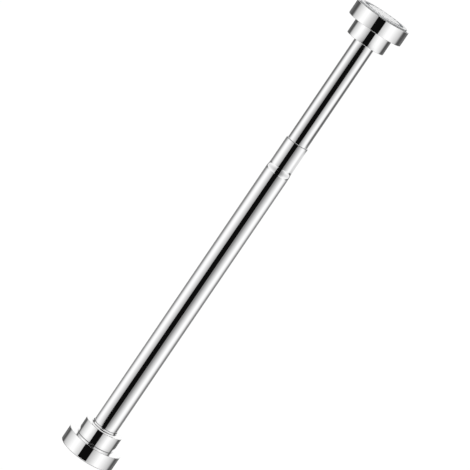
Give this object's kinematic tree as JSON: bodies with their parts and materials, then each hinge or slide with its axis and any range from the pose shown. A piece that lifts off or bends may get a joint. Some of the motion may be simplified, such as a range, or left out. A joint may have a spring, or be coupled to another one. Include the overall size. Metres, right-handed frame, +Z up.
{
  "type": "telescopic closet rod",
  "caption": "Chrome tension closet rod: two telescoping tubes with a twist lock and a spring, held between two walls by stepped round feet with grip pads.",
  "frame": {"origin": "centre of the outer foot's grip pad, on the wall that it presses against", "axes": "+X along the rod from the outer foot to the inner foot, +Z up, as the rod hangs in a wardrobe"},
  "size_m": [0.5141, 0.0574, 0.0574],
  "materials": {
    "chrome": "bright polished chrome plating",
    "abs_dark": "moulded dark plastic",
    "silicone": "pale soft silicone",
    "nylon": "natural nylon",
    "acetal_grey": "smooth grey acetal",
    "bush_grey": "smooth pale grey plastic",
    "zinc_steel": "zinc-plated steel",
    "spring_steel": "oiled spring steel"
  },
  "bodies": {
    "outer_foot": {"outer_flange_cover": "chrome", "outer_flange_core": "abs_dark", "outer_grip_pad": "silicone", "outer_entry_ring": "chrome", "outer_thrust_washer": "nylon"},
    "outer_rod": {"outer_tube": "chrome", "outer_end_plug": "abs_dark", "outer_swivel_screw": "zinc_steel"},
    "lock_sleeve": {"expander_sleeve": "nylon"},
    "lock_nut": {"wedge_nut": "acetal_grey"},
    "spindle": {"lock_spindle": "zinc_steel", "wedge_stop_clip": "spring_steel", "spring_seat_washer": "zinc_steel", "spindle_end_clip": "spring_steel", "compression_spring": "spring_steel"},
    "inner_rod": {"inner_tube": "chrome", "guide_plug": "nylon", "spring_stop_plug": "nylon", "inner_end_plug": "abs_dark", "inner_swivel_screw": "zinc_steel"},
    "inner_foot": {"inner_flange_cover": "chrome", "inner_flange_core": "abs_dark", "inner_grip_pad": "silicone", "inner_reducing_bush": "bush_grey", "inner_thrust_washer": "nylon"}
  },
  "joints": [
    {"name": "outer_foot_swivel", "type": "hinge", "parent": "outer_foot", "child": "outer_rod", "pos_m": [0, 0, 0], "axis": [1, 0, 0], "continuous": true},
    {"name": "length_adjust", "type": "slide", "parent": "outer_rod", "child": "lock_sleeve", "axis": [1, 0, 0], "range_m": [-0.085, 0.135]},
    {"name": "twist_lock", "type": "hinge", "parent": "lock_sleeve", "child": "spindle", "pos_m": [0, 0, 0], "axis": [1, 0, 0], "range_deg": [-360, 0]},
    {"name": "wedge_feed", "type": "slide", "parent": "lock_sleeve", "child": "lock_nut", "axis": [1, 0, 0], "range_m": [-0.002, 0]},
    {"name": "spring_travel", "type": "slide", "parent": "spindle", "child": "inner_rod", "axis": [1, 0, 0], "range_m": [-0.025, 0], "stiffness_N_per_m": 2500, "springref_m": 0.01, "deforming": ["compression_spring"]},
    {"name": "inner_foot_swivel", "type": "hinge", "parent": "inner_rod", "child": "inner_foot", "pos_m": [0.5141, 0, 0], "axis": [1, 0, 0], "continuous": true}
  ],
  "couplings": [
    {"joint": "wedge_feed", "follows": "twist_lock", "m_per_rad": 0.0003183}
  ]
}
